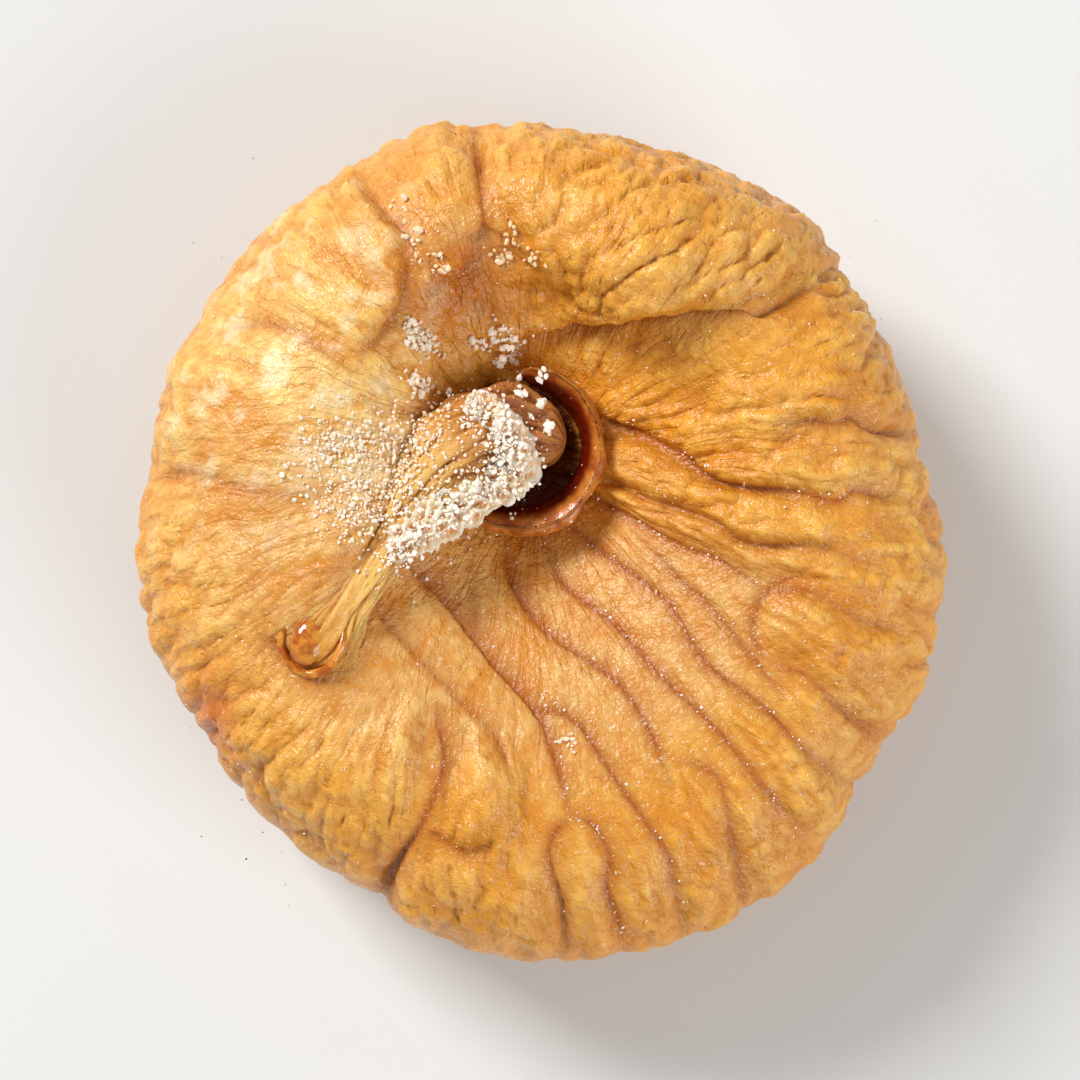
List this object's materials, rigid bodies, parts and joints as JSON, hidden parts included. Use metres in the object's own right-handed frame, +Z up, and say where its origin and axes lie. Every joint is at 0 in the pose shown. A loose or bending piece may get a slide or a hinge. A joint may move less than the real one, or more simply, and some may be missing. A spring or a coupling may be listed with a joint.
{
  "type": "dried fig",
  "caption": "Dried fig pressed flat, golden pleated skin drawn into a hollow round a folded stem with a curled scale and sugar crust.",
  "frame": {"origin": "middle of the footprint, on the surface that the fig lies on", "axes": "+Z up through the hollow and the stem, +Y along the fruit's longer way across"},
  "size_m": [0.0494, 0.0516, 0.0203],
  "materials": {
    "fig_skin": "waxy, wrinkled, slightly translucent golden skin",
    "stem": "dry and fibrous, amber at the tip",
    "scale": "glossy red-brown",
    "sugar": "frothy translucent crystals"
  },
  "bodies": {
    "root": {"fig_body": "fig_skin", "stem": "stem", "stem_scale": "scale", "sugar_crust": "sugar"}
  },
  "joints": []
}
